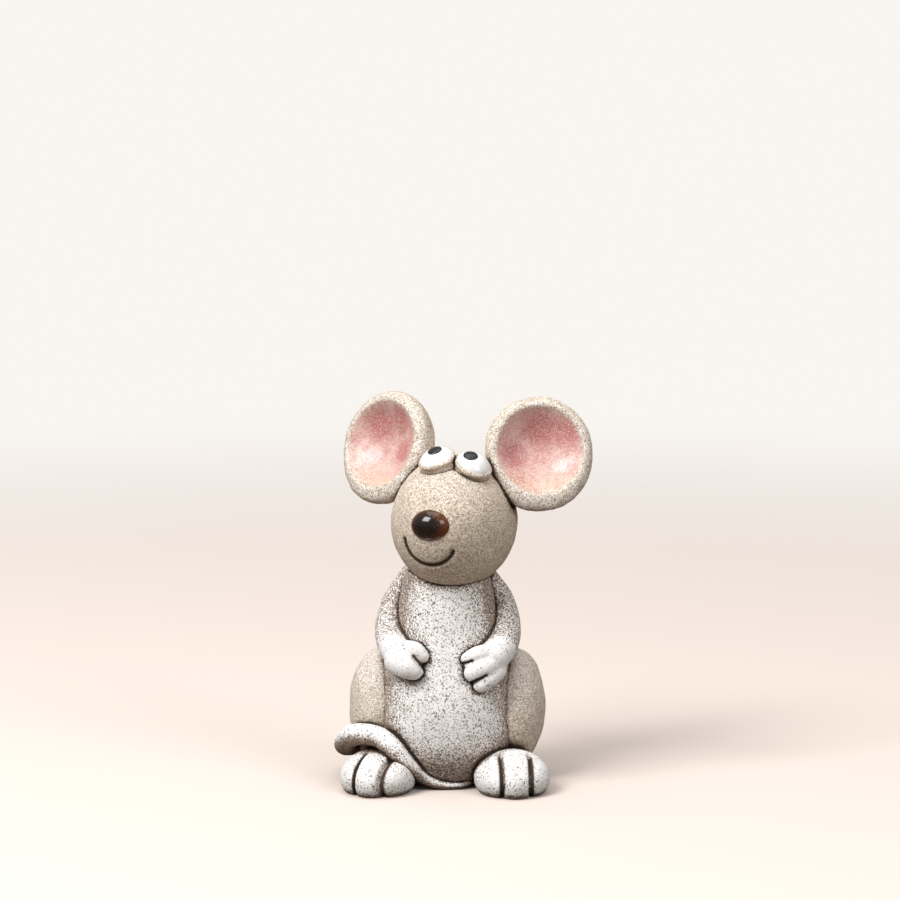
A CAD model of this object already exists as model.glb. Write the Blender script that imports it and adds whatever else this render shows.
"""A seated mouse figurine of sanded stoneware, with dry-brushed slip and gloss glazes.

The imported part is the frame. Each of its pieces is shaped again here as soft clay, in
millimetres, brought to metres when it is done, and stands in for the node of the same place.
"Left" and "right" are the mouse's own sides: it faces -Y and its left side is +X.
"""
import sys

import logging
import math
from collections.abc import Callable
from dataclasses import dataclass, field
from enum import Enum

import bmesh
import bpy
import numpy as np
from mathutils import Matrix, Vector, noise
from mathutils.bvhtree import BVHTree


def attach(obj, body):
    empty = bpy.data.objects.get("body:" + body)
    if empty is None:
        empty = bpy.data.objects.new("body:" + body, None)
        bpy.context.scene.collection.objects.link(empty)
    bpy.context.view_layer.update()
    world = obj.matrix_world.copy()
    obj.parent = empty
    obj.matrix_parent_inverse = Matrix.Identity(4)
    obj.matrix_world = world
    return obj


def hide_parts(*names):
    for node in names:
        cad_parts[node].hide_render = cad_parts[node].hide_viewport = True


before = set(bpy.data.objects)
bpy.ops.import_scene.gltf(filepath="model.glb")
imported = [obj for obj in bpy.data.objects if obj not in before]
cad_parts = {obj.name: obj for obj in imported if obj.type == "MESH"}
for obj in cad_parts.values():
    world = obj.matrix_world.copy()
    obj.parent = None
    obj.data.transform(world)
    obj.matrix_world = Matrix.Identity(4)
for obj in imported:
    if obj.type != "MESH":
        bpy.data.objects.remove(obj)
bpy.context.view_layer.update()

log = logging.getLogger("mouse")

# One millimetre in metres, the unit of the finished pieces.
MM = 0.001
# The distance between the vertices of a piece's skin: the least, which small forms always
# have, and the usual one, which is coarser while trying things.
FINE_SKIN = 0.33
SKIN = FINE_SKIN

Route = tuple[tuple[float, float, float], ...]
Outline = list[tuple[float, float]]
Colour = tuple[float, float, float, float]
Band = tuple[float, float]


class Side(Enum):
    """One of the mouse's own sides, by the sign of X there."""

    LEFT = 1
    RIGHT = -1

    @property
    def word(self) -> str:
        """The side's name, as node names end in it."""
        return self.name.lower()


class Slot(Enum):
    """The record's material slots."""

    SANDED = "sanded_clay"
    BRUSHED = "brushed_clay"
    PINK = "pink_glaze"
    WHITE = "white_glaze"
    BLACK = "black_glaze"
    AMBER = "amber_glaze"


def smoothstep(low: float, high: float, value: float) -> float:
    """A soft step from 0 at low to 1 at high."""
    share = min(1.0, max(0.0, (value - low) / (high - low)))
    return share * share * (3 - 2 * share)


def turned(axis: str, degrees: float) -> Matrix:
    """A turn about one axis."""
    return Matrix.Rotation(math.radians(degrees), 4, axis)


def moved(x: float, y: float, z: float) -> Matrix:
    """A move."""
    return Matrix.Translation((x, y, z))


def along(route: Route, radii: tuple[float, ...], steps: int) -> list[tuple[Vector, float]]:
    """A smooth line through places, with the radius there.

    Args:
        route: The places that the line goes through.
        radii: The radius at each place.
        steps: How many points each stretch between two places gets.

    Returns:
        The points along the line, each with its radius.
    """
    knots = [Vector((*place, radius)) for place, radius in zip(route, radii)]
    knots = [2 * knots[0] - knots[1], *knots, 2 * knots[-1] - knots[-2]]
    line = []
    for before, here, there, after in zip(knots, knots[1:], knots[2:], knots[3:]):
        for step in range(steps):
            t = step / steps
            bend = (2 * here + (there - before) * t
                    + (2 * before - 5 * here + 4 * there - after) * t ** 2
                    + (3 * here - before - 3 * there + after) * t ** 3) / 2
            line.append((bend.xyz, bend.w))
    line.append((knots[-2].xyz, knots[-2].w))
    return line


def new_mesh(name: str, bm: bmesh.types.BMesh) -> bpy.types.Mesh:
    """A new mesh of a shape."""
    mesh = bpy.data.meshes.new(name)
    bm.to_mesh(mesh)
    return mesh


def put(name: str, data: bpy.types.ID) -> bpy.types.Object:
    """Puts a new object in the scene."""
    thing = bpy.data.objects.new(name, data)
    bpy.context.scene.collection.objects.link(thing)
    return thing


class Clay:
    """A lump of clay under the hands, in millimetres."""

    def __init__(self) -> None:
        """Starts with nothing on the bench."""
        self.bm = bmesh.new()

    def ball(self, place: Matrix, half_sizes: tuple[float, float, float], detail: int = 5) -> None:
        """Adds a ball, drawn out to its half sizes.

        Args:
            place: Where the ball's middle goes and how it is turned.
            half_sizes: Its half sizes along its own axes.
            detail: How finely it is divided.
        """
        matrix = place @ Matrix.Diagonal((*half_sizes, 1))
        bmesh.ops.create_icosphere(self.bm, subdivisions=detail, radius=1, matrix=matrix)

    def coil(self, route: Route, radii: tuple[float, ...], steps: int = 14) -> None:
        """Adds a rolled coil.

        Args:
            route: The places that the coil's middle goes through.
            radii: The coil's radius at each place.
            steps: How many balls each stretch is rolled from.
        """
        for place, radius in along(route, radii, steps):
            self.ball(Matrix.Translation(place), (radius, radius, radius), detail=4)

    def spin(self, outline: Outline, place: Matrix, stations: int) -> None:
        """Adds a shape thrown on a wheel.

        Args:
            outline: Radius and height of its side, from one end of the axis to the other.
            place: Where the wheel's middle goes; its axis is its own Z.
            stations: How many stations the turn has.
        """
        thrown = bmesh.new()
        verts = [thrown.verts.new((radius, 0, height)) for radius, height in outline]
        edges = [thrown.edges.new(pair) for pair in zip(verts, verts[1:])]
        bmesh.ops.spin(thrown, geom=[*verts, *edges], cent=(0, 0, 0), axis=(0, 0, 1),
                       dvec=(0, 0, 0), angle=math.tau, steps=stations, use_merge=True)
        bmesh.ops.remove_doubles(thrown, verts=thrown.verts, dist=MM)
        bmesh.ops.recalc_face_normals(thrown, faces=thrown.faces)
        bmesh.ops.transform(thrown, matrix=place, verts=thrown.verts)
        mesh = new_mesh("thrown", thrown)
        thrown.free()
        self.bm.from_mesh(mesh)
        bpy.data.meshes.remove(mesh)

    def join(self, skin: float, smoothing: int) -> None:
        """Presses all lumps into one, under one even skin.

        Args:
            skin: The distance between the skin's vertices.
            smoothing: How many times the skin is wiped smooth.
        """
        mesh = new_mesh("lump", self.bm)
        lump = put("lump", mesh)
        press = lump.modifiers.new("press", "REMESH")
        press.mode = "VOXEL"
        press.voxel_size = skin
        pressed = lump.evaluated_get(bpy.context.evaluated_depsgraph_get())
        self.bm.clear()
        self.bm.from_mesh(pressed.to_mesh())
        pressed.to_mesh_clear()
        bpy.data.objects.remove(lump)
        bpy.data.meshes.remove(mesh)
        for _ in range(smoothing):
            bmesh.ops.smooth_vert(self.bm, verts=self.bm.verts, factor=0.5, use_axis_x=True,
                                  use_axis_y=True, use_axis_z=True)
        self.bm.normal_update()

    def move_skin(self, rise_at: Callable[[Vector, Vector], float]) -> None:
        """Raises or sinks the skin along its own normals.

        Args:
            rise_at: Gives the rise for a place and the normal there.
        """
        for vert in self.bm.verts:
            vert.co += vert.normal * rise_at(vert.co, vert.normal)
        self.bm.normal_update()

    def sit(self) -> None:
        """Presses the clay flat on the ground plane at z = 0."""
        for vert in self.bm.verts:
            vert.co.z = max(vert.co.z, 0.0)
        self.bm.normal_update()

    def set_in(self, place: Matrix) -> None:
        """Moves and turns the clay to its place."""
        bmesh.ops.transform(self.bm, matrix=place, verts=self.bm.verts)
        self.bm.normal_update()

    def sand(self, lumps: float, grain: float, seed: float) -> None:
        """Gives the skin the uneven surface of hand-finished sandy clay.

        Args:
            lumps: How far the soft unevenness of the hands rises and sinks.
            grain: How far the sand grains rise and sink.
            seed: Moves the pattern, so that no two pieces have the same.
        """
        shift = Vector((seed, seed, seed))
        lump_pitch, dent_pitch, grain_pitch = 9.0, 3.2, 1.15
        dent_share = 0.4

        def rise_at(place: Vector, _normal: Vector) -> float:
            """The rise of the skin at a place."""
            soft = noise.noise(place / lump_pitch + shift)
            dent = noise.noise(place / dent_pitch + shift)
            fine = noise.noise(place / grain_pitch + shift)
            return lumps * (soft + dent_share * dent) + grain * fine

        self.move_skin(rise_at)


@dataclass
class Piece:
    """One finished piece of the figurine.

    Attributes:
        name: The piece's own name.
        node: The node of the frame that it stands for.
        slot: The material slot that its finish comes from.
        clay: Its shape, in millimetres.
        brush: How much white slip a place with a normal gets, from 0 to 1. A piece without
            it is smooth glaze, which holds no slip.
        ink: How dark the brown slip is in the piece's own grooves, from 0 to 1.
        masks: What is painted on it, by name, one value for each vertex.
    """

    name: str
    node: str
    slot: Slot
    clay: Clay
    brush: Callable[[Vector, Vector], float] | None = None
    ink: Callable[[Vector], float] | None = None
    masks: dict[str, np.ndarray] = field(default_factory=dict)

    def set_down(self, material: bpy.types.Material) -> None:
        """Brings the piece to metres and puts it in the scene, riding on the one body.

        Args:
            material: The finish that it gets.
        """
        bmesh.ops.scale(self.clay.bm, vec=(MM, MM, MM), verts=self.clay.bm.verts)
        mesh = new_mesh(self.name, self.clay.bm)
        self.clay.bm.free()
        mesh.shade_smooth()
        for mask, values in self.masks.items():
            layer = mesh.attributes.new(mask, "FLOAT", "POINT")
            layer.data.foreach_set("value", np.asarray(values, np.float32))
        mesh.materials.append(material)
        piece = put(self.name, mesh)
        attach(piece, "root")
        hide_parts(self.node)
        log.info("%s: %d vertices, for node %s", self.name, len(mesh.vertices), self.node)


@dataclass
class Creases:
    """Finds where brown slip stays when a piece is wiped: in grooves and against neighbours.

    Attributes:
        narrow: How near other clay has to be for a dark crease.
        wide: How near other clay has to be for a shaded hollow.
        lift: How far off the skin the feelers start.
        facing: How directly a feeler has to leave the skin.
        blur: How many times the masks are evened out.
    """

    narrow: float = 2.8
    wide: float = 8.0
    lift: float = 0.35
    facing: float = 0.3
    blur: int = 3

    def feelers(self) -> list[Vector]:
        """Even directions to feel for clay in: a cube's faces, edges and corners."""
        steps = (-1, 0, 1)
        ways = [Vector((x, y, z)) for x in steps for y in steps for z in steps]
        return [way.normalized() for way in ways if way.length > 0]

    def feel(self, pieces: list[Piece]) -> None:
        """Paints the masks crease, recess, brush and ink on each piece of clay.

        Args:
            pieces: All pieces of the figurine, in millimetres.
        """
        whole = bmesh.new()
        for piece in pieces:
            mesh = new_mesh("felt", piece.clay.bm)
            whole.from_mesh(mesh)
            bpy.data.meshes.remove(mesh)
        tree = BVHTree.FromBMesh(whole)
        whole.free()
        for piece in pieces:
            if piece.brush is not None:
                self.feel_one(piece, tree)

    def feel_one(self, piece: Piece, tree: BVHTree) -> None:
        """Paints the masks on one piece of clay.

        Args:
            piece: The piece.
            tree: All surfaces of the figurine.
        """
        verts = piece.clay.bm.verts
        verts.index_update()
        crease, recess, brush = np.zeros((3, len(verts)))
        ways = self.feelers()
        for index, vert in enumerate(verts):
            normal = vert.normal
            start = vert.co + normal * self.lift
            total = near = far = 0.0
            for way in ways:
                facing = way.dot(normal)
                if facing < self.facing:
                    continue
                total += facing
                distance = tree.ray_cast(start, way, self.wide)[3]
                if distance is not None:
                    far += facing * (1 - distance / self.wide)
                    near += facing * max(0.0, 1 - distance / self.narrow)
            crease[index] = near / total
            recess[index] = far / total
            brush[index] = piece.brush(vert.co, normal)
        pairs = np.array([[vert.index for vert in edge.verts] for edge in piece.clay.bm.edges])
        piece.masks["crease"] = self.evened(crease, pairs)
        piece.masks["recess"] = self.evened(recess, pairs)
        piece.masks["brush"] = brush
        piece.masks["ink"] = np.array([piece.ink(vert.co) if piece.ink else 0.0 for vert in verts])

    def evened(self, values: np.ndarray, pairs: np.ndarray) -> np.ndarray:
        """A mask with each value drawn towards those beside it.

        Args:
            values: The mask.
            pairs: The two vertices of each edge.

        Returns:
            The evened mask.
        """
        ends = pairs.ravel()
        others = pairs[:, ::-1].ravel()
        count = np.maximum(np.bincount(ends, minlength=len(values)), 1)
        for _ in range(self.blur):
            beside = np.bincount(ends, weights=values[others], minlength=len(values))
            values = (values + beside / count) / 2
        return values


@dataclass
class Torso:
    """The body casting: a pear thrown on the wheel."""

    # Height, radius and slope of the side, from the base to the neck.
    side: tuple[tuple[float, float, float], ...] = (
        (0.0, 15.0, 0.9), (20.5, 23.0, 0.0), (47.0, 17.3, -0.22), (58.0, 15.2, -0.25),
        (67.0, 11.8, -0.45))
    crown_height: float = 65.0
    base_round: float = 1.2
    slip_most: float = 0.74
    slip_least: float = 0.2
    rows: int = 90
    stations: int = 160

    def radius_at(self, height: float) -> float:
        """The pear's radius at a height, on a smooth line through the named places."""
        top = self.side[-1][0]
        for lower, upper in zip(self.side, self.side[1:]):
            if height <= upper[0] or upper[0] == top:
                break
        (low, low_radius, low_slope), (high, high_radius, high_slope) = lower, upper
        rise = high - low
        t = max(0.0, (height - low) / rise)
        return (low_radius * (1 - 3 * t ** 2 + 2 * t ** 3) + high_radius * (3 * t ** 2 - 2 * t ** 3)
                + rise * (low_slope * (t - 2 * t ** 2 + t ** 3) + high_slope * (t ** 3 - t ** 2)))

    def brush_at(self, place: Vector, normal: Vector) -> float:
        """White slip on the chest and belly, less towards the sides and the floor."""
        front = smoothstep(0.4, 0.92, -normal.y)
        low = smoothstep(1.0, 18.0, place.z)
        return max(self.slip_most * front * low, self.slip_least)

    def build(self) -> Piece:
        """Throws the pear and sits it on the ground plane."""
        clay = Clay()
        outline = [(0.0, 0.0), (self.radius_at(0) - self.base_round, 0.0)]
        rise = (self.crown_height - self.base_round) / self.rows
        heights = [self.base_round + rise * row for row in range(self.rows + 1)]
        outline += [(self.radius_at(height), height) for height in heights]
        outline.append((0.0, self.crown_height))
        clay.spin(outline, Matrix.Identity(4), self.stations)
        clay.join(SKIN, smoothing=8)
        clay.sand(lumps=0.2, grain=0.08, seed=3.0)
        clay.sit()
        return Piece("torso_casting", "body", Slot.BRUSHED, clay, self.brush_at)


@dataclass
class Head:
    """The head casting: an egg that lies along the way the mouse looks."""

    half_width: float = 18.8
    half_height: float = 20.3
    snout: float = 25.0
    nape: float = 20.0
    shift: float = 2.6
    setforward: float = 2.0
    height: float = 80.0
    yaw: float = -16.0
    mouth_radius: float = 8.1
    mouth_x: float = -0.9
    mouth_z: float = -2.3
    mouth_span: float = 151.0
    mouth_turn: float = -11.0
    mouth_line: float = 0.62
    mouth_depth: float = 0.9
    slip_least: float = 0.1
    slip_top: float = 0.1

    @property
    def place(self) -> Matrix:
        """The egg's middle, turned the way the mouse looks."""
        return moved(self.shift, -self.setforward, self.height) @ turned("Z", self.yaw)

    def seam_at(self, place: Vector, width: float) -> float:
        """How near a place of the figurine is to the egg's skin.

        Args:
            place: The place, in the figurine's frame.
            width: How far off the skin the nearness has mostly gone.

        Returns:
            The nearness, from 0 far off to 1 on the skin.
        """
        spot = self.place.inverted() @ place
        length = self.snout if spot.y < 0 else self.nape
        reach = Vector((spot.x / self.half_width, spot.y / length, spot.z / self.half_height)).length
        return math.exp(-((reach - 1) * self.half_height / width) ** 2)

    def mouth_at(self, place: Vector) -> float:
        """How much of the mouth's line is at a place in the head's own frame, from 0 to 1."""
        if place.y > 0:
            return 0.0
        across, up = place.x - self.mouth_x, place.z - self.mouth_z
        angle = math.degrees(math.atan2(up, across)) + 90 - self.mouth_turn
        angle = (angle + 180) % 360 - 180
        past = math.radians(max(0.0, abs(angle) - self.mouth_span / 2)) * self.mouth_radius
        off = math.hypot(math.hypot(across, up) - self.mouth_radius, past)
        return math.exp(-(off / self.mouth_line) ** 2)

    def brush_at(self, _place: Vector, normal: Vector) -> float:
        """A trace of white slip, most on top."""
        return self.slip_least + self.slip_top * smoothstep(0.0, 1.0, normal.z)

    def build(self) -> Piece:
        """Shapes the egg and draws the mouth into it."""
        clay = Clay()
        clay.ball(Matrix.Identity(4), (self.half_width, 1, self.half_height), detail=6)
        for vert in clay.bm.verts:
            vert.co.y *= self.snout if vert.co.y < 0 else self.nape
        clay.join(SKIN, smoothing=8)
        clay.sand(lumps=0.2, grain=0.07, seed=7.0)
        clay.move_skin(lambda place, _normal: -self.mouth_depth * self.mouth_at(place))
        clay.set_in(self.place)
        back = self.place.inverted()
        return Piece("head_casting", "head", Slot.SANDED, clay, self.brush_at,
                     lambda place: self.mouth_at(back @ place))


@dataclass
class Nose:
    """The glazed bead pressed into the snout."""

    head: Head
    half_width: float = 6.2
    half_height: float = 5.0
    half_depth: float = 4.8
    shift: float = -0.2
    rise: float = 1.8
    proud: float = 2.2
    # Where the dark middle of the bead lies, as shares of its half width and half height.
    dark_x: float = -0.12
    dark_z: float = 0.1

    def build(self) -> Piece:
        """Rolls the bead and presses it in."""
        clay = Clay()
        setback = self.half_depth - self.proud - self.head.snout
        place = self.head.place @ moved(self.shift, setback, self.rise)
        clay.ball(place, (self.half_width, self.half_depth, self.half_height), detail=6)
        back = place.inverted()
        spots = [back @ vert.co for vert in clay.bm.verts]
        rim = [math.hypot(spot.x / self.half_width - self.dark_x,
                          spot.z / self.half_height - self.dark_z) for spot in spots]
        return Piece("nose_bead_glass", "nose_bead", Slot.AMBER, clay, masks={"rim": np.array(rim)})


@dataclass
class Ear:
    """A thick bowl on a root of clay, with a pool of glaze in it."""

    head: Head
    side: Side
    half_width: float = 16.5
    half_height: float = 17.0
    girth_depth: float = 4.0
    depth: float = 15.8
    sag: float = 1.3
    lumps: float = 0.35
    dish_radius: float = 13.5
    dish_depth: float = 6.6
    dish_edge: float = 0.7
    spread: float = 26.0
    setback: float = 3.2
    rise: float = 22.6
    splay: float = 24.0
    tilt: float = 18.0
    root_radius: float = 7.0
    root_reach: float = 14.5
    root_depth: float = 9.5
    glaze_swell: float = 0.5
    glaze_dip: float = 0.16
    glaze_share: float = 0.985
    glaze_foot: float = 0.5
    slip_back: float = 0.1
    slip_lip: float = 0.28
    rows: int = 28
    stations: int = 144

    @property
    def seed(self) -> float:
        """What moves the pattern of the ear's lumps."""
        return 11.0 + self.side.value

    @property
    def flushes(self) -> tuple[tuple[float, float, float], ...]:
        """Where the glaze is redder: across, down and radius, as shares of the hollow's radius."""
        if self.side is Side.RIGHT:
            return (-0.3, -0.5, 0.45), (0.3, -0.62, 0.35), (0.5, 0.1, 0.3)
        return (0.05, -0.55, 0.5), (0.62, -0.42, 0.35), (-0.55, 0.05, 0.35)

    @property
    def oval(self) -> Matrix:
        """What draws the round bowl out to its height."""
        return Matrix.Diagonal((1, self.half_height / self.half_width, 1, 1))

    @property
    def place(self) -> Matrix:
        """The middle of the opening; the ear's own Z runs back into the bowl."""
        sign = self.side.value
        stand = moved(sign * self.spread, self.setback, self.rise)
        return self.head.place @ stand @ turned("Z", sign * self.splay) @ turned("X", -self.tilt - 90)

    def dish_at(self, radius: float) -> float:
        """How deep the hollow is at a radius: an arc, level in the middle."""
        drop = self.dish_depth - self.dish_edge
        bend = (self.dish_radius ** 2 + drop ** 2) / (2 * drop)
        return self.dish_depth - bend + math.sqrt(bend ** 2 - radius ** 2)

    def outline(self) -> Outline:
        """The bowl's side, from the middle of the hollow round the lip to the back."""
        shares = [row / self.rows for row in range(self.rows + 1)]
        dish = [(self.dish_radius * share, self.dish_at(self.dish_radius * share)) for share in shares]
        reach, drop = self.half_width - self.dish_radius, self.girth_depth - self.dish_edge
        bend = (reach ** 2 + drop ** 2) / (2 * reach)
        sweep = math.atan2(drop, bend - reach)
        lip = [(self.half_width - bend + bend * math.cos(turn), self.girth_depth - bend * math.sin(turn))
               for turn in (sweep * (1 - share) for share in shares[1:])]
        behind = self.depth - self.girth_depth
        back = [(self.half_width * math.cos(turn), self.girth_depth + behind * math.sin(turn))
                for turn in (math.pi / 2 * share for share in shares[1:])]
        back[-1] = (0.0, self.depth)
        return dish + lip + back

    def brush_at(self, _place: Vector, normal: Vector) -> float:
        """White slip on the lip, less on the back."""
        return self.slip_back + self.slip_lip * smoothstep(0.1, 0.9, -normal.y)

    def sagged(self, spot: Vector) -> Vector:
        """Where a spot in the ear's own frame ends up as the soft bowl sags below the hollow."""
        out = smoothstep(self.dish_radius, self.half_width, math.hypot(spot.x, spot.y))
        return spot + Vector((0, self.sag * out * smoothstep(0.0, 1.0, spot.y / self.half_height), 0))

    def build(self) -> Piece:
        """Throws the bowl, lets it sag and presses it on its root."""
        clay = Clay()
        clay.spin(self.outline(), self.oval, self.stations)
        for vert in clay.bm.verts:
            vert.co = self.sagged(vert.co)
        clay.set_in(self.place)
        middle = self.place.inverted() @ self.head.place.translation
        inward = Vector((middle.x, middle.y, 0)).normalized() * self.root_reach
        root = self.place @ moved(inward.x, inward.y, self.root_depth)
        clay.ball(root, (self.root_radius, self.root_radius, self.root_radius))
        clay.join(SKIN, smoothing=10)
        clay.sand(self.lumps, grain=0.08, seed=self.seed)
        word = self.side.word
        return Piece(f"ear_bowl_{word}", f"ear_{word}", Slot.SANDED, clay, self.brush_at)

    def flush_at(self, across: float, down: float) -> float:
        """How red the glaze is at a place in the hollow, from 0 to 1."""
        return max(math.exp(-(math.hypot(across - x, down - y) / radius) ** 2)
                   for x, y, radius in self.flushes)

    def build_glaze(self) -> Piece:
        """Pours the pool of glaze, with a rounded edge that dips under the clay's skin."""
        clay = Clay()
        rows = self.rows * 3
        full = self.dish_radius * self.glaze_share
        radii = [full * math.sin(math.pi / 2 * row / rows) for row in range(rows + 1)]
        top = [(radius, self.dish_at(radius) + self.glaze_dip
                - self.glaze_swell * math.sqrt(1 - (radius / full) ** 8)) for radius in radii]
        under = [(radius, self.dish_at(radius) + self.glaze_foot) for radius in reversed(radii)]
        clay.spin(top + under, self.place @ self.oval, self.stations)
        clay.sand(self.lumps, grain=0.0, seed=self.seed)
        back = self.place.inverted()
        spots = [(back @ vert.co) / self.dish_radius for vert in clay.bm.verts]
        masks = {
            "rim": np.array([math.hypot(spot.x, spot.y) for spot in spots]),
            "low": np.array([spot.y for spot in spots]),
            "flush": np.array([self.flush_at(spot.x, spot.y) for spot in spots]),
        }
        word = self.side.word
        return Piece(f"ear_pool_{word}", f"ear_glaze_{word}", Slot.PINK, clay, masks=masks)


@dataclass
class Eye:
    """A clay mound on the brow, with a cap of white glaze and a black spot."""

    head: Head
    side: Side
    mound_radius: float = 6.6
    spread: float = 4.2
    setforward: float = 8.0
    rise: float = 16.6
    pair_turn: float = 13.0
    pair_roll: float = 2.0
    splay: float = 39.0
    lift: float = 57.0
    white_angle: float = 54.0
    white_thickness: float = 0.55
    white_foot: float = 0.5
    bare_trim: float = 0.4
    lid_radius: float = 0.7
    lid_swell: float = 0.1
    lid_lift: float = 0.1
    left_drop: float = 1.0
    right_cover: float = 6.0
    seam_width: float = 0.7
    seam_ink: float = 0.5
    slip: float = 0.15
    pupil_angle: float = 18.0
    pupil_thickness: float = 0.3
    pupil_splay: float = 24.0
    pupil_lift: float = 63.0
    rows: int = 24
    stations: int = 96

    @property
    def place(self) -> Matrix:
        """The middle of the mound; the left eye sits a little lower."""
        pair = turned("Y", self.pair_roll) @ turned("Z", self.pair_turn)
        rise = self.rise - self.left_drop * max(self.side.value, 0)
        return self.head.place @ pair @ moved(self.side.value * self.spread, -self.setforward, rise)

    def aimed(self, splay: float, lift: float) -> Matrix:
        """The mound's middle, its Z towards a place on it.

        Args:
            splay: Turn to the side from the way the pair looks.
            lift: Angle above level.

        Returns:
            The turned place.
        """
        return self.place @ turned("Z", splay) @ turned("X", 90 - lift)

    def cap(self, angle: float, radius: float, thickness: float, foot: float) -> Outline:
        """The outline of a cap with a soft edge.

        Args:
            angle: How far the cap comes down from its middle.
            radius: The radius of what it lies on.
            thickness: Its thickness in the middle.
            foot: How far it reaches under what it lies on.

        Returns:
            Radius and height, from the top of the cap to the middle underneath.
        """
        full = math.radians(angle)
        turns = [full * math.sin(math.pi / 2 * row / self.rows) for row in range(self.rows + 1)]
        over = [(turn, radius + thickness * math.sqrt(max(0.0, 1 - (turn / full) ** 6))) for turn in turns]
        under = [(turn, radius - foot) for turn in reversed(turns)]
        return [(reach * math.sin(turn), reach * math.cos(turn)) for turn, reach in over + under]

    def build_mound(self) -> Piece:
        """Presses the mound on the brow, with a lid round the white that is thicker below."""
        clay = Clay()
        clay.ball(self.place, (self.mound_radius - self.bare_trim,) * 3)
        aim = self.aimed(self.side.value * self.splay, self.lift)
        cover = self.right_cover * max(-self.side.value, 0)
        for station in range(self.stations):
            turn = math.tau * station / self.stations
            lower = smoothstep(-0.2, 0.9, -math.sin(turn))
            edge = math.radians(self.white_angle - cover * lower)
            reach = self.mound_radius + self.lid_lift * (lower - 1)
            ring, height = reach * math.sin(edge), reach * math.cos(edge)
            radius = self.lid_radius + self.lid_swell * lower
            spot = moved(ring * math.cos(turn), ring * math.sin(turn), height)
            clay.ball(aim @ spot, (radius,) * 3, detail=3)
        clay.join(FINE_SKIN, smoothing=4)
        clay.sand(lumps=0.1, grain=0.07, seed=23.0 + self.side.value)
        word = self.side.word
        return Piece(f"eye_lid_{word}", f"eye_mound_{word}", Slot.SANDED, clay,
                     lambda _place, _normal: self.slip,
                     lambda place: self.seam_ink * self.head.seam_at(place, self.seam_width))

    def build_white(self) -> Piece:
        """Lays the cap of white glaze."""
        clay = Clay()
        outline = self.cap(self.white_angle, self.mound_radius, self.white_thickness, self.white_foot)
        clay.spin(outline, self.aimed(self.side.value * self.splay, self.lift), self.stations)
        return Piece(f"eye_cap_{self.side.word}", f"eye_white_{self.side.word}", Slot.WHITE, clay)

    def build_pupil(self) -> Piece:
        """Lays the black spot on the white."""
        clay = Clay()
        radius = self.mound_radius + self.white_thickness
        outline = self.cap(self.pupil_angle, radius, self.pupil_thickness, self.pupil_thickness)
        splay = self.side.value * self.pupil_splay - self.pair_turn
        clay.spin(outline, self.aimed(splay, self.pupil_lift), self.stations)
        return Piece(f"pupil_spot_{self.side.word}", f"pupil_{self.side.word}", Slot.BLACK, clay)


@dataclass
class Lobe:
    """A finger, rolled and pressed on the end of an arm."""

    route: Route
    radii: tuple[float, ...]


@dataclass
class Groove:
    """A line cut into the front of a paw, by the places it joins, across and up.

    Attributes:
        start: Where the line starts.
        end: Where the line ends.
        start_width: Half its width at the start.
        end_width: Half its width at the end.
        front: The line is only cut in front of this.
    """

    start: tuple[float, float]
    end: tuple[float, float]
    start_width: float
    end_width: float
    front: float = -17.0

    def cut_at(self, place: Vector) -> float:
        """How much of the line is at a place, from 0 to 1."""
        if place.y > self.front:
            return 0.0
        start, run = Vector(self.start), Vector(self.end) - Vector(self.start)
        spot = Vector((place.x, place.z))
        share = min(1.0, max(0.0, (spot - start).dot(run) / run.length_squared))
        width = self.start_width + (self.end_width - self.start_width) * share
        return math.exp(-((spot - start - run * share).length / width) ** 2)


@dataclass
class Arm:
    """A rolled arm that ends in a paw of a few fingers."""

    side: Side
    route: Route
    radii: tuple[float, ...]
    fingers: tuple[Lobe, ...]
    grooves: tuple[Groove, ...]
    groove_depth: float = 0.8
    smoothing: int = 4
    # How far forward the paw's slip starts and where it is full.
    paw_start: float = -9.0
    paw_full: float = -17.0
    slip_paw: float = 0.93
    slip_arm: float = 0.26
    slip_top: float = 0.2

    def cut_at(self, place: Vector) -> float:
        """How much of a groove is at a place, from 0 to 1."""
        return max(groove.cut_at(place) for groove in self.grooves)

    def brush_at(self, place: Vector, normal: Vector) -> float:
        """White slip on the paw, less up the arm."""
        paw = self.slip_paw * smoothstep(self.paw_start, self.paw_full, place.y)
        top = self.slip_top * smoothstep(-0.2, 0.7, normal.z - normal.y)
        return max(paw, self.slip_arm + top)

    def build(self) -> Piece:
        """Rolls the arm and its fingers and presses them together."""
        clay = Clay()
        clay.coil(self.route, self.radii)
        for finger in self.fingers:
            clay.coil(finger.route, finger.radii)
        clay.join(FINE_SKIN, self.smoothing)
        clay.move_skin(lambda place, _normal: -self.groove_depth * self.cut_at(place))
        clay.sand(lumps=0.15, grain=0.06, seed=31.0 + self.side.value)
        word = self.side.word
        return Piece(f"arm_coil_{word}", f"arm_{word}", Slot.BRUSHED, clay, self.brush_at, self.cut_at)


@dataclass
class Haunch:
    """A thick oval pad, the folded thigh."""

    side: Side
    half_width: float = 9.6
    half_depth: float = 16.6
    half_height: float = 17.8
    spread: float = 20.5
    setback: float = 2.8
    height: float = 22.0
    slip_least: float = 0.2
    slip_top: float = 0.22

    def brush_at(self, _place: Vector, normal: Vector) -> float:
        """A little white slip on the top and the front."""
        return self.slip_least + self.slip_top * smoothstep(0.0, 1.0, normal.z - 0.5 * normal.y)

    def build(self) -> Piece:
        """Presses the pad on the body's side."""
        clay = Clay()
        place = moved(self.side.value * self.spread, self.setback, self.height)
        clay.ball(place, (self.half_width, self.half_depth, self.half_height), detail=6)
        clay.join(SKIN, smoothing=6)
        clay.sand(lumps=0.35, grain=0.08, seed=41.0 + self.side.value)
        word = self.side.word
        return Piece(f"haunch_pad_{word}", f"haunch_{word}", Slot.SANDED, clay, self.brush_at)


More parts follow.
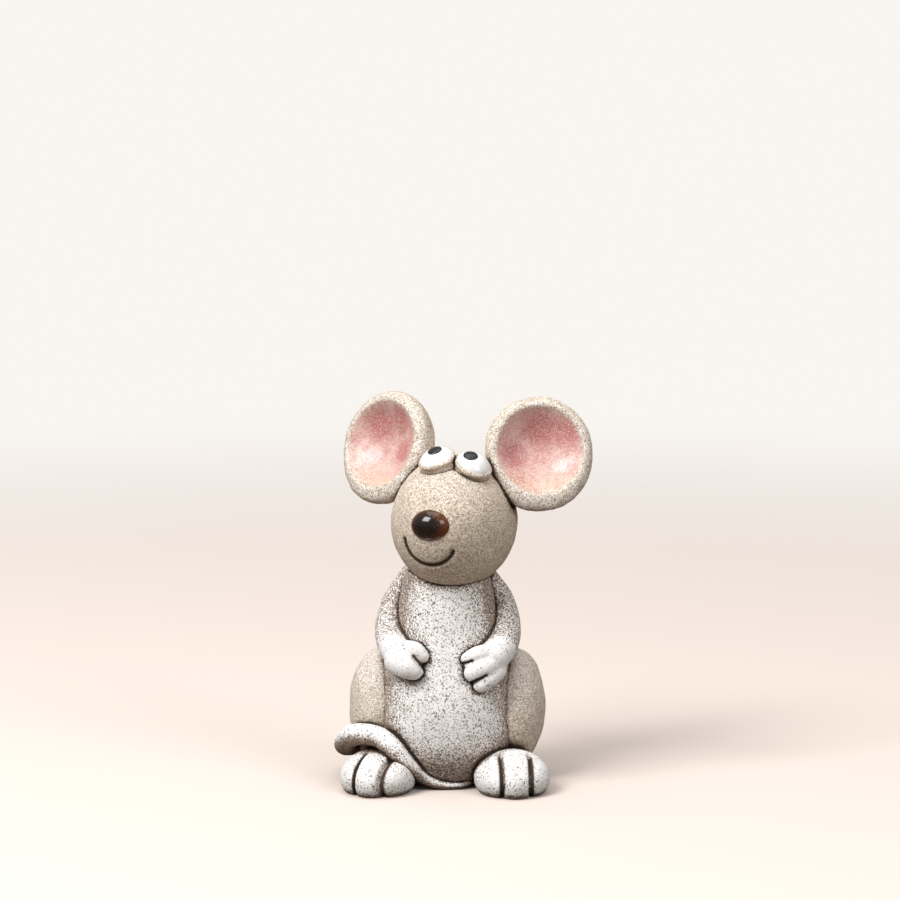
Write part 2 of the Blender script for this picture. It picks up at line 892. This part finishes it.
@dataclass
class Foot:
    """A flat-bottomed pad with two grooves between three toes.

    Attributes:
        grooves: How far to the left of the foot's middle each groove runs, and its width.
        toe_splay: How far the toes point away from the mouse's middle.
    """

    side: Side
    grooves: tuple[tuple[float, float], ...]
    toe_splay: float
    half_width: float = 11.5
    half_length: float = 13.6
    half_height: float = 8.3
    height: float = 4.2
    spread: float = 20.2
    setforward: float = 17.6
    splay: float = 4.0
    groove_depth: float = 1.5
    toe_round: float = 0.6
    toe_round_width: float = 2.6
    # How far back of the pad's middle the grooves start, and where they are full.
    toe_start: float = 2.0
    toe_full: float = -3.0
    # The height where the slip starts, and where it is full.
    slip_start: float = 0.65
    slip_full: float = 2.08
    slip: float = 0.82

    @property
    def place(self) -> Matrix:
        """The pad's middle."""
        return moved(self.side.value * self.spread, -self.setforward, self.height)

    def groove_at(self, place: Vector, wider: float) -> float:
        """How much of a groove is at a place, from 0 to 1.

        Args:
            place: The place, in the figurine's frame.
            wider: What is added to the grooves' width.

        Returns:
            The share.
        """
        turn = turned("Z", self.side.value * self.toe_splay)
        toes = turn.inverted() @ self.place.inverted() @ place
        ahead = smoothstep(self.toe_start, self.toe_full, toes.y)
        shares = [math.exp(-((toes.x - across) / (width / 2 + wider)) ** 2)
                  for across, width in self.grooves]
        return ahead * max(shares)

    def rise_at(self, place: Vector, _normal: Vector) -> float:
        """How the toes are rounded and parted at a place."""
        soft = self.toe_round * self.groove_at(place, self.toe_round_width)
        return -soft - self.groove_depth * self.groove_at(place, 0)

    def brush_at(self, place: Vector, _normal: Vector) -> float:
        """White slip over the toes, but not on the edge that the foot was fired on."""
        return self.slip * smoothstep(self.slip_start, self.slip_full, place.z)

    def build(self) -> Piece:
        """Presses the pad flat and cuts its grooves."""
        clay = Clay()
        place = self.place @ turned("Z", self.side.value * self.splay)
        clay.ball(place, (self.half_width, self.half_length, self.half_height), detail=6)
        clay.join(SKIN, smoothing=6)
        clay.move_skin(self.rise_at)
        clay.sand(lumps=0.12, grain=0.05, seed=47.0 + self.side.value)
        clay.sit()
        word = self.side.word
        return Piece(f"foot_pad_{word}", f"foot_{word}", Slot.BRUSHED, clay, self.brush_at,
                     lambda spot: self.groove_at(spot, 0))


@dataclass
class Tail:
    """One long tapering coil, from the back round the right haunch to the floor in front."""

    route: Route = (
        (-3.4, 15.9, 6.4), (-10.0, 19.5, 6.1), (-23.9, 18.6, 6.9), (-29.9, 11.1, 7.8),
        (-31.1, -2.5, 10.8), (-28.6, -11.5, 15.2), (-24.2, -15.9, 16.7), (-19.6, -18.0, 16.1),
        (-15.9, -19.9, 13.5), (-12.9, -20.4, 10.2), (-9.9, -19.8, 7.2), (-6.0, -18.0, 3.6),
        (-1.0, -17.3, 1.6), (4.5, -16.4, 1.3), (7.7, -15.0, 1.9))
    radii: tuple[float, ...] = (
        4.0, 4.0, 3.8, 3.6, 3.5, 3.4, 3.3, 3.2, 3.2, 2.9, 2.4, 1.8, 1.25, 1.0, 0.7)
    slip_back: float = 0.35
    slip_front: float = 0.5

    def brush_at(self, place: Vector, normal: Vector) -> float:
        """White slip along the top, most in front."""
        front = smoothstep(5.0, -12.0, place.y)
        return (self.slip_back + self.slip_front * front) * smoothstep(-0.5, 0.35, normal.z)

    def build(self) -> Piece:
        """Rolls the tail and lays it down."""
        clay = Clay()
        clay.coil(self.route, self.radii, steps=12)
        clay.join(SKIN, smoothing=4)
        clay.sand(lumps=0.12, grain=0.06, seed=53.0)
        clay.sit()
        return Piece("tail_coil", "tail", Slot.BRUSHED, clay, self.brush_at)


class Graph:
    """A short way to write a node tree."""

    def __init__(self, tree: bpy.types.NodeTree) -> None:
        """Takes the tree to write, and empties it."""
        self.tree = tree
        tree.nodes.clear()

    def add(self, kind: str, inputs: dict[str | int, object] | None = None,
            **settings: object) -> bpy.types.Node:
        """Adds a node.

        Args:
            kind: The node's type, without its leading "ShaderNode". The two ends of a group
                have no such word and are named in full.
            inputs: What goes into its sockets: a value, or another node's output.
            settings: The node's own settings.

        Returns:
            The node.
        """
        kind = kind if kind.startswith("NodeGroup") else "ShaderNode" + kind
        node = self.tree.nodes.new(kind)
        for setting, value in settings.items():
            setattr(node, setting, value)
        for socket, value in (inputs or {}).items():
            if isinstance(value, bpy.types.NodeSocket):
                self.tree.links.new(value, node.inputs[socket])
            else:
                node.inputs[socket].default_value = value
        return node

    def math(self, operation: str, first: object, second: object,
             clamp: bool = False) -> bpy.types.NodeSocket:
        """The result of an operation on two values, kept from 0 to 1 if it is clamped."""
        return self.add("Math", {0: first, 1: second}, operation=operation, use_clamp=clamp).outputs[0]

    def times(self, first: object, second: object) -> bpy.types.NodeSocket:
        """The product of two values."""
        return self.math("MULTIPLY", first, second)

    def step(self, value: object, low: object, high: object) -> bpy.types.NodeSocket:
        """A soft step from 0 at low to 1 at high."""
        ranged = self.add("MapRange", {"Value": value, "From Min": low, "From Max": high},
                          interpolation_type="SMOOTHSTEP")
        return ranged.outputs[0]

    def mix(self, share: object, first: object, second: object) -> bpy.types.NodeSocket:
        """A mix of two colours."""
        # A mix node has sockets for each kind of value: 0 is the share, 6 and 7 take colours,
        # and the colour comes out of 2.
        inputs = {0: share, 6: first, 7: second}
        return self.add("Mix", inputs, data_type="RGBA", clamp_factor=True).outputs[2]

    def mask(self, name: str) -> bpy.types.NodeSocket:
        """A mask that is painted on the piece."""
        return self.add("Attribute", attribute_name=name).outputs["Fac"]

    def surface(self, shader: bpy.types.Node) -> None:
        """Ends a material's tree with its shader."""
        self.add("OutputMaterial", {"Surface": shader.outputs[0]})


def new_material(name: str) -> tuple[bpy.types.Material, Graph]:
    """Starts a material.

    Args:
        name: The material's name.

    Returns:
        The material, and the graph to write it with.
    """
    material = bpy.data.materials.new(name)
    material.use_nodes = True
    return material, Graph(material.node_tree)


def new_group(name: str, inputs: dict[str, str],
              outputs: dict[str, str]) -> tuple[bpy.types.NodeTree, Graph]:
    """Starts a shader node group.

    Args:
        name: The group's name.
        inputs: Its inputs' names and socket types.
        outputs: Its outputs' names and socket types.

    Returns:
        The group, and the graph to write it with.
    """
    tree = bpy.data.node_groups.new(name, "ShaderNodeTree")
    for sockets, way in ((inputs, "INPUT"), (outputs, "OUTPUT")):
        for socket, kind in sockets.items():
            tree.interface.new_socket(socket, in_out=way, socket_type="NodeSocket" + kind)
    return tree, Graph(tree)


@dataclass
class SandGroups:
    """The node groups that the clay and the glazes share."""

    def grain(self) -> bpy.types.NodeTree:
        """Sand in clay: Height of the grains, the Tone of each grain, and Pits between them."""
        tree, graph = new_group("sand_grain", {"Pitch": "Float"},
                                {"Height": "Float", "Tone": "Float", "Pits": "Float"})
        into = graph.add("NodeGroupInput")
        place = graph.add("TexCoord").outputs["Object"]
        scale = graph.math("DIVIDE", 1.0, into.outputs["Pitch"])
        rough = graph.add("TexNoise", {"Vector": place, "Scale": scale, "Detail": 3.0, "Roughness": 0.65})
        cells = graph.add("TexVoronoi", {"Vector": place, "Scale": graph.times(scale, 1.3)})
        tone = graph.add("SeparateColor", {0: cells.outputs["Color"]}).outputs[0]
        spots = graph.add("TexVoronoi", {"Vector": place, "Scale": graph.times(scale, 0.55)})
        dots = graph.step(spots.outputs["Distance"], 0.38, 0.12)
        chance = graph.add("SeparateColor", {0: spots.outputs["Color"]}).outputs[1]
        pits = graph.times(dots, graph.step(chance, 0.45, 0.75))
        out = graph.add("NodeGroupOutput")
        for socket, value in (("Height", rough.outputs[0]), ("Tone", tone), ("Pits", pits)):
            tree.links.new(value, out.inputs[socket])
        return tree

    def brush(self) -> bpy.types.NodeTree:
        """White slip dragged over the grains: it stays on the high ones."""
        tree, graph = new_group("dry_brush", {"Color": "Color", "White": "Color", "Amount": "Float",
                                              "Height": "Float", "Softness": "Float"}, {"Color": "Color"})
        into = graph.add("NodeGroupInput").outputs
        edge = graph.math("SUBTRACT", 1.0, into["Amount"])
        level = graph.step(into["Height"], 0.3, 0.7)
        low = graph.math("SUBTRACT", edge, into["Softness"])
        high = graph.math("ADD", edge, into["Softness"])
        share = graph.step(level, low, high)
        out = graph.add("NodeGroupOutput")
        tree.links.new(graph.mix(share, into["Color"], into["White"]), out.inputs["Color"])
        return tree

    def wash(self) -> bpy.types.NodeTree:
        """Brown slip left in creases and grooves, thin and tan round them."""
        tree, graph = new_group("crease_wash", {"Color": "Color", "Slip": "Color", "Tan": "Color",
                                                "Height": "Float"}, {"Color": "Color"})
        into = graph.add("NodeGroupInput").outputs
        uneven = graph.times(graph.math("SUBTRACT", into["Height"], 0.5), 0.7)
        crease, recess, ink = (graph.math("SUBTRACT", graph.mask(name), uneven)
                               for name in ("crease", "recess", "ink"))
        thin = graph.math("MAXIMUM", graph.step(recess, 0.14, 0.5), graph.step(ink, 0.02, 0.6))
        colour = graph.mix(graph.times(thin, 0.75), into["Color"], into["Tan"])
        thick = graph.math("MAXIMUM", graph.step(crease, 0.1, 0.38), graph.step(ink, 0.42, 0.72))
        colour = graph.mix(graph.times(thick, 0.95), colour, into["Slip"])
        out = graph.add("NodeGroupOutput")
        tree.links.new(colour, out.inputs["Color"])
        return tree


@dataclass(frozen=True)
class ClayFinish:
    """Fired sandy clay under brown and white slip.

    Attributes:
        slot: The material slot, whose name the material's own starts with.
        dark: The darkest grains.
        mid: The clay between.
        light: The lightest grains.
        pit: The slip in the pits.
        pitch: The size of a grain, in metres.
        slip: The brown slip in the creases.
        tan: The thin brown slip round them.
        white: The white slip.
        mid_at: Where the clay between lies, from the darkest grains at 0 to the lightest at 1.
        hollow: How much less white slip a hollow gets.
        softness: How softly the white slip ends.
        patches: How many thicker patches of white slip there are to a metre.
        patchiness: How much thicker and thinner than the rest they are.
        pit_loss: How much less a pit catches of it.
        tone_relief: How much the light grains stand out.
        bump: How strongly the grains show as relief.
        bump_height: How high they are, in metres.
    """

    slot: Slot
    dark: Colour
    mid: Colour
    light: Colour
    pit: Colour
    pitch: float
    slip: Colour = (0.042, 0.027, 0.019, 1.0)
    tan: Colour = (0.24, 0.172, 0.13, 1.0)
    white: Colour = (0.89, 0.87, 0.86, 1.0)
    mid_at: float = 0.45
    hollow: float = 1.6
    softness: float = 0.16
    patches: float = 260.0
    patchiness: float = 0.7
    pit_loss: float = 0.25
    tone_relief: float = 0.3
    bump: float = 0.55
    bump_height: float = 0.0002
    roughness: float = 0.88
    specular: float = 0.25

    def material(self, groups: dict[str, bpy.types.NodeTree]) -> bpy.types.Material:
        """Makes the material.

        Args:
            groups: The shared node groups, by name.

        Returns:
            The material.
        """
        material, graph = new_material(self.slot.value + "_finish")
        grain = graph.add("Group", {"Pitch": self.pitch}, node_tree=groups["grain"])
        height, tone, pits = (grain.outputs[name] for name in ("Height", "Tone", "Pits"))
        ramp = graph.add("ValToRGB", {0: tone})
        ramp.color_ramp.elements[0].color = self.dark
        ramp.color_ramp.elements[1].color = self.light
        ramp.color_ramp.elements.new(self.mid_at).color = self.mid
        colour = graph.mix(pits, ramp.outputs[0], self.pit)
        place = graph.add("TexCoord").outputs["Object"]
        patch = graph.add("TexNoise", {"Vector": place, "Scale": self.patches, "Detail": 2.0}).outputs[0]
        uneven = graph.times(graph.math("SUBTRACT", patch, 0.5), self.patchiness)
        less = graph.times(graph.mask("recess"), self.hollow)
        kept = graph.math("SUBTRACT", 1.0, less, clamp=True)
        held = graph.times(graph.math("ADD", uneven, 1.0), kept)
        amount = graph.times(graph.mask("brush"), held)
        catch = graph.math("SUBTRACT", height, graph.times(pits, self.pit_loss))
        brushed = graph.add("Group", {"Color": colour, "White": self.white, "Amount": amount,
                                      "Height": catch, "Softness": self.softness},
                            node_tree=groups["brush"])
        washed = graph.add("Group", {"Color": brushed.outputs[0], "Slip": self.slip,
                                     "Tan": self.tan, "Height": height}, node_tree=groups["wash"])
        relief = graph.math("ADD", height, graph.times(tone, self.tone_relief))
        bump = graph.add("Bump", {"Height": relief, "Strength": self.bump,
                                  "Distance": self.bump_height})
        graph.surface(graph.add("BsdfPrincipled", {
            "Base Color": washed.outputs[0], "Roughness": self.roughness,
            "Specular IOR Level": self.specular, "Normal": bump.outputs[0]}))
        return material


@dataclass(frozen=True)
class PinkGlaze:
    """The pink gloss in the ears: pale where thin, flushed in patches, sandy at the edge.

    A band is where a colour starts and where it is full, and a share is how much of the
    colour shows there.
    """

    slot: Slot = Slot.PINK
    pitch: float = 0.0004
    pink: Colour = (0.69, 0.34, 0.32, 1.0)
    pale: Colour = (0.79, 0.52, 0.48, 1.0)
    flush: Colour = (0.50, 0.13, 0.13, 1.0)
    grey: Colour = (0.40, 0.30, 0.275, 1.0)
    sandy: Colour = (0.74, 0.50, 0.36, 1.0)
    rim_dark: Colour = (0.36, 0.28, 0.22, 1.0)
    rim_light: Colour = (0.86, 0.77, 0.66, 1.0)
    speck: Colour = (0.34, 0.21, 0.17, 1.0)
    # Clouds to a metre.
    clouds: float = 160.0
    pale_band: Band = (0.35, 0.65)
    flush_band: Band = (0.1, 0.85)
    flush_share: float = 0.85
    grey_band: Band = (0.1, -0.9)
    grey_share: float = 0.6
    sandy_band: Band = (0.25, 0.95)
    sandy_share: float = 0.9
    light_share: float = 0.38
    dark_share: float = 0.5
    pit_band: Band = (-0.3, 0.95)
    pit_share: float = 0.65
    edge_band: Band = (0.93, 1.03)
    edge_ragged: float = 0.9
    roughness: float = 0.45
    edge_roughness: float = 0.4
    specular: float = 0.2
    coat: float = 0.5
    coat_roughness: float = 0.07
    bump: float = 0.3
    bump_height: float = 0.0002

    def material(self, groups: dict[str, bpy.types.NodeTree]) -> bpy.types.Material:
        """Makes the material.

        Args:
            groups: The shared node groups, by name.

        Returns:
            The material.
        """
        material, graph = new_material(self.slot.value + "_finish")
        place = graph.add("TexCoord").outputs["Object"]
        grain = graph.add("Group", {"Pitch": self.pitch}, node_tree=groups["grain"])
        height, tone, pits = (grain.outputs[name] for name in ("Height", "Tone", "Pits"))
        cloud = graph.add("TexNoise", {"Vector": place, "Scale": self.clouds, "Detail": 3.0}).outputs[0]
        wobble = graph.math("SUBTRACT", cloud, 0.5)
        rim, low, flush = graph.mask("rim"), graph.mask("low"), graph.mask("flush")
        colour = graph.mix(graph.step(cloud, *self.pale_band), self.pink, self.pale)
        red = graph.step(graph.math("ADD", flush, wobble), *self.flush_band)
        colour = graph.mix(graph.times(red, self.flush_share), colour, self.flush)
        upper = graph.times(graph.step(low, *self.grey_band), graph.step(tone, 0.4, 0.9))
        colour = graph.mix(graph.times(upper, self.grey_share), colour, self.grey)
        lower = graph.times(graph.step(low, *self.sandy_band), graph.step(tone, 0.1, 0.6))
        colour = graph.mix(graph.times(lower, self.sandy_share), colour, self.sandy)
        light = graph.times(graph.step(tone, 0.5, 1.0), self.light_share)
        colour = graph.mix(light, colour, self.rim_light)
        dark = graph.times(graph.step(tone, 0.5, 0.0), self.dark_share)
        colour = graph.mix(dark, colour, self.speck)
        specks = graph.times(pits, graph.step(rim, *self.pit_band))
        colour = graph.mix(graph.times(specks, self.pit_share), colour, self.speck)
        ragged = graph.times(graph.math("SUBTRACT", height, 0.5), self.edge_ragged)
        edge = graph.step(graph.math("ADD", rim, ragged), *self.edge_band)
        colour = graph.mix(edge, colour, graph.mix(tone, self.rim_dark, self.rim_light))
        gloss = graph.times(graph.math("SUBTRACT", 1.0, edge, clamp=True), self.coat)
        rough = graph.math("ADD", graph.times(edge, self.edge_roughness), self.roughness)
        bump = graph.add("Bump", {"Height": height, "Strength": self.bump,
                                  "Distance": self.bump_height}).outputs[0]
        graph.surface(graph.add("BsdfPrincipled", {
            "Base Color": colour, "Roughness": rough, "Specular IOR Level": self.specular,
            "Coat Weight": gloss, "Coat Roughness": self.coat_roughness, "Normal": bump,
            "Coat Normal": bump}))
        return material


@dataclass(frozen=True)
class GlossGlaze:
    """A plain gloss glaze with soft clouds of colour in it.

    Attributes:
        slot: The material slot, whose name the material's own starts with.
        colour: The glaze's colour.
        cloud: The colour of its clouds.
        scale: How many clouds there are to a metre.
        roughness: How rough the gloss is.
        coat: How much clear gloss lies over it.
        cloud_band: Where in the pattern the clouds start and where they are full.
    """

    slot: Slot
    colour: Colour
    cloud: Colour
    scale: float
    roughness: float
    coat: float
    cloud_band: Band = (0.4, 0.65)
    coat_roughness: float = 0.03
    bump: float = 0.05
    bump_height: float = 0.0003

    def material(self, _groups: dict[str, bpy.types.NodeTree]) -> bpy.types.Material:
        """Makes the material, which needs none of the shared groups."""
        material, graph = new_material(self.slot.value + "_finish")
        place = graph.add("TexCoord").outputs["Object"]
        cloud = graph.add("TexNoise", {"Vector": place, "Scale": self.scale, "Detail": 2.0}).outputs[0]
        colour = graph.mix(graph.step(cloud, *self.cloud_band), self.colour, self.cloud)
        bump = graph.add("Bump", {"Height": cloud, "Strength": self.bump,
                                  "Distance": self.bump_height})
        graph.surface(graph.add("BsdfPrincipled", {
            "Base Color": colour, "Roughness": self.roughness, "Coat Weight": self.coat,
            "Coat Roughness": self.coat_roughness, "Normal": bump.outputs[0]}))
        return material


@dataclass(frozen=True)
class AmberGlaze:
    """The nose's glass: nearly black in the middle, brown with fine specks towards its rim."""

    slot: Slot = Slot.AMBER
    dark: Colour = (0.010, 0.005, 0.004, 1.0)
    amber: Colour = (0.15, 0.045, 0.012, 1.0)
    fleck: Colour = (0.34, 0.17, 0.06, 1.0)
    pitch: float = 0.0005
    # How ragged the border of the dark middle is, and the band in which the brown comes.
    ragged: float = 1.1
    amber_band: Band = (0.5, 1.15)
    fleck_band: Band = (0.2, 0.8)
    fleck_share: float = 0.5
    roughness: float = 0.16
    specular: float = 0.35
    coat: float = 0.3
    coat_roughness: float = 0.08

    def material(self, groups: dict[str, bpy.types.NodeTree]) -> bpy.types.Material:
        """Makes the material.

        Args:
            groups: The shared node groups, by name.

        Returns:
            The material.
        """
        material, graph = new_material(self.slot.value + "_finish")
        grain = graph.add("Group", {"Pitch": self.pitch}, node_tree=groups["grain"])
        height, pits = grain.outputs["Height"], grain.outputs["Pits"]
        rim = graph.mask("rim")
        ragged = graph.times(graph.math("SUBTRACT", height, 0.5), self.ragged)
        outer = graph.step(graph.math("ADD", rim, ragged), *self.amber_band)
        colour = graph.mix(outer, self.dark, self.amber)
        flecks = graph.times(pits, graph.step(rim, *self.fleck_band))
        colour = graph.mix(graph.times(flecks, self.fleck_share), colour, self.fleck)
        graph.surface(graph.add("BsdfPrincipled", {
            "Base Color": colour, "Roughness": self.roughness, "Specular IOR Level": self.specular,
            "Coat Weight": self.coat, "Coat Roughness": self.coat_roughness}))
        return material


@dataclass
class Studio:
    """A pale floor, soft light and a camera that stands where the photograph was taken."""

    camera_azimuth: float = 2.0
    camera_pitch: float = 7.3
    camera_distance: float = 0.960
    camera_height: float = 0.2244
    camera_side: float = 0.0009
    lens: float = 85.0
    sensor: float = 24.0
    floor_radius: float = 4.0
    floor_near: float = 0.15
    floor_far: float = 0.98
    floor_colour: Colour = (0.78, 0.68, 0.62, 1.0)
    floor_bounce: Colour = (0.13, 0.10, 0.075, 1.0)
    floor_roughness: float = 0.8
    floor_specular: float = 0.15
    wall_colour: Colour = (0.947, 0.913, 0.875, 1.0)
    ambient: float = 0.4
    ambient_colour: Colour = (1.0, 0.98, 0.96, 1.0)
    # The height that the lamps point at.
    aim_height: float = 0.06

    def camera(self) -> None:
        """Sets up the camera."""
        data = bpy.data.cameras.new("camera")
        data.lens, data.sensor_width = self.lens, self.sensor
        camera = put("camera", data)
        turn = math.radians(self.camera_azimuth)
        across = Vector((math.cos(turn), math.sin(turn), 0))
        ahead = Vector((-math.sin(turn), math.cos(turn), 0))
        camera.location = across * self.camera_side - ahead * self.camera_distance
        camera.location.z = self.camera_height
        camera.rotation_euler = (math.radians(90 - self.camera_pitch), 0, turn)
        bpy.context.scene.camera = camera

    def floor(self) -> None:
        """Lays a round floor that fades into the backdrop far behind the figurine."""
        bm = bmesh.new()
        bmesh.ops.create_circle(bm, cap_ends=True, segments=96, radius=self.floor_radius)
        mesh = new_mesh("floor", bm)
        bm.free()
        floor = put("floor", mesh)
        material, graph = new_material("floor")
        place = graph.add("TexCoord").outputs["Object"]
        distance = graph.add("VectorMath", {0: place}, operation="LENGTH").outputs["Value"]
        camera_sees = graph.add("LightPath").outputs["Is Camera Ray"]
        away = graph.times(graph.step(distance, self.floor_near, self.floor_far), camera_sees)
        colour = graph.mix(camera_sees, self.floor_bounce, self.floor_colour)
        near = graph.add("BsdfPrincipled", {"Base Color": colour, "Roughness": self.floor_roughness,
                                            "Specular IOR Level": self.floor_specular})
        far = graph.add("Emission", {"Color": self.wall_colour})
        graph.surface(graph.add("MixShader", {0: away, 1: near.outputs[0], 2: far.outputs[0]}))
        mesh.materials.append(material)

    def world(self) -> None:
        """Makes the backdrop, and an even light from all round."""
        world = bpy.data.worlds.new("studio")
        bpy.context.scene.world = world
        world.use_nodes = True
        graph = Graph(world.node_tree)
        path = graph.add("LightPath").outputs
        seen = graph.math("ADD", path["Is Camera Ray"], path["Is Transmission Ray"], clamp=True)
        light = graph.add("Background", {"Color": self.ambient_colour, "Strength": self.ambient})
        wall = graph.add("Background", {"Color": self.wall_colour, "Strength": 1.0})
        mixed = graph.add("MixShader", {0: seen, 1: light.outputs[0], 2: wall.outputs[0]})
        graph.add("OutputWorld", {"Surface": mixed.outputs[0]})

    def lamp(self, name: str, place: tuple[float, float, float], size: float, power: float) -> None:
        """Hangs a soft lamp that points at the figurine.

        Args:
            name: The lamp's name.
            place: Where it hangs.
            size: The side of its square face.
            power: Its power in watts.
        """
        data = bpy.data.lights.new(name, "AREA")
        data.size, data.energy = size, power
        lamp = put(name, data)
        lamp.location = place
        aim = Vector((0, 0, self.aim_height)) - Vector(place)
        lamp.rotation_euler = aim.to_track_quat("-Z", "Y").to_euler()

    def build(self) -> None:
        """Sets up everything that isn't the figurine."""
        bpy.context.scene.view_settings.view_transform = "Standard"
        self.camera()
        self.floor()
        self.world()
        self.lamp("window_left", (-0.75, -0.7, 1.1), size=0.7, power=21.0)
        self.lamp("window_right", (0.9, -0.8, 0.8), size=0.6, power=5.5)
        self.lamp("ceiling", (0.0, 0.1, 1.4), size=1.0, power=5.5)


RIGHT_ARM = Arm(
    Side.RIGHT,
    ((-8.6, 1.5, 66.0), (-12.6, -0.6, 61.0), (-15.4, -2.2, 56.2), (-16.9, -4.2, 51.3),
     (-17.2, -7.6, 46.8), (-15.6, -12.6, 43.2), (-13.0, -16.6, 40.8)),
    (3.2, 3.4, 3.8, 4.1, 4.5, 4.7, 4.6),
    (Lobe(((-13.5, -16.5, 42.6), (-9.3, -18.6, 43.2), (-6.7, -19.0, 41.4)), (3.2, 2.7, 2.1)),
     Lobe(((-14.0, -17.2, 39.6), (-11.5, -19.6, 38.6), (-9.4, -20.0, 37.6)), (4.3, 4.0, 3.3))),
    (Groove((-9.4, 41.8), (-5.6, 37.6), 0.4, 0.75),))

LEFT_ARM = Arm(
    Side.LEFT,
    ((9.4, 1.8, 66.0), (13.6, -0.4, 60.4), (16.4, -1.2, 55.9), (17.7, -3.1, 51.0),
     (18.0, -6.3, 46.6), (16.9, -11.2, 43.2), (14.9, -15.2, 41.2)),
    (3.2, 3.5, 3.9, 4.3, 4.6, 4.8, 4.8),
    (Lobe(((13.8, -15.8, 42.0), (9.9, -18.6, 41.8), (7.0, -19.2, 40.6)), (3.0, 2.7, 2.3)),
     Lobe(((14.6, -16.0, 39.2), (11.5, -19.6, 38.0), (8.5, -20.4, 36.6)), (3.4, 3.2, 2.8)),
     Lobe(((15.6, -16.0, 36.8), (13.2, -19.2, 34.7), (10.8, -20.2, 33.0)), (3.0, 2.7, 2.3))),
    (Groove((4.3, 39.0), (8.4, 40.6), 0.55, 0.4), Groove((8.4, 34.0), (12.7, 36.3), 0.55, 0.4)))

RIGHT_FOOT = Foot(Side.RIGHT, ((-3.1, 1.1), (5.9, 1.9)), 21.0)
LEFT_FOOT = Foot(Side.LEFT, ((-3.9, 1.4), (5.4, 1.3)), 5.0)

FINISHES = (
    ClayFinish(Slot.SANDED, dark=(0.28, 0.21, 0.155, 1.0), mid=(0.57, 0.465, 0.365, 1.0),
               light=(0.88, 0.77, 0.63, 1.0), pit=(0.22, 0.16, 0.12, 1.0), pitch=0.00038),
    ClayFinish(Slot.BRUSHED, dark=(0.10, 0.07, 0.052, 1.0), mid=(0.26, 0.195, 0.15, 1.0),
               light=(0.50, 0.41, 0.335, 1.0), pit=(0.09, 0.062, 0.047, 1.0), pitch=0.00048),
    PinkGlaze(),
    AmberGlaze(),
    GlossGlaze(Slot.WHITE, colour=(0.86, 0.86, 0.85, 1.0), cloud=(0.80, 0.80, 0.79, 1.0),
               scale=300.0, roughness=0.2, coat=0.4),
    GlossGlaze(Slot.BLACK, colour=(0.010, 0.009, 0.011, 1.0), cloud=(0.018, 0.016, 0.02, 1.0),
               scale=700.0, roughness=0.3, coat=0.0),
)


def shape_pieces() -> list[Piece]:
    """Shapes every piece of the figurine, in the order in which it is put together."""
    head = Head()
    pieces = [Torso().build(), head.build(), Nose(head).build()]
    for side in Side:
        ear, eye = Ear(head, side), Eye(head, side)
        pieces += [ear.build(), ear.build_glaze(), eye.build_mound(), eye.build_white(), eye.build_pupil()]
        pieces.append(Haunch(side).build())
    pieces += [LEFT_ARM.build(), RIGHT_ARM.build(), LEFT_FOOT.build(), RIGHT_FOOT.build(), Tail().build()]
    return pieces


def main() -> None:
    """Shapes, paints and sets down the figurine in its studio."""
    logging.basicConfig(level=logging.INFO, format="%(name)s: %(message)s", stream=sys.stdout)
    pieces = shape_pieces()
    log.info("%d pieces shaped", len(pieces))
    Creases().feel(pieces)
    log.info("creases found")
    shared = SandGroups()
    groups = {"grain": shared.grain(), "brush": shared.brush(), "wash": shared.wash()}
    materials = {finish.slot: finish.material(groups) for finish in FINISHES}
    for piece in pieces:
        piece.set_down(materials[piece.slot])
    Studio().build()


if __name__ == "__main__":
    main()
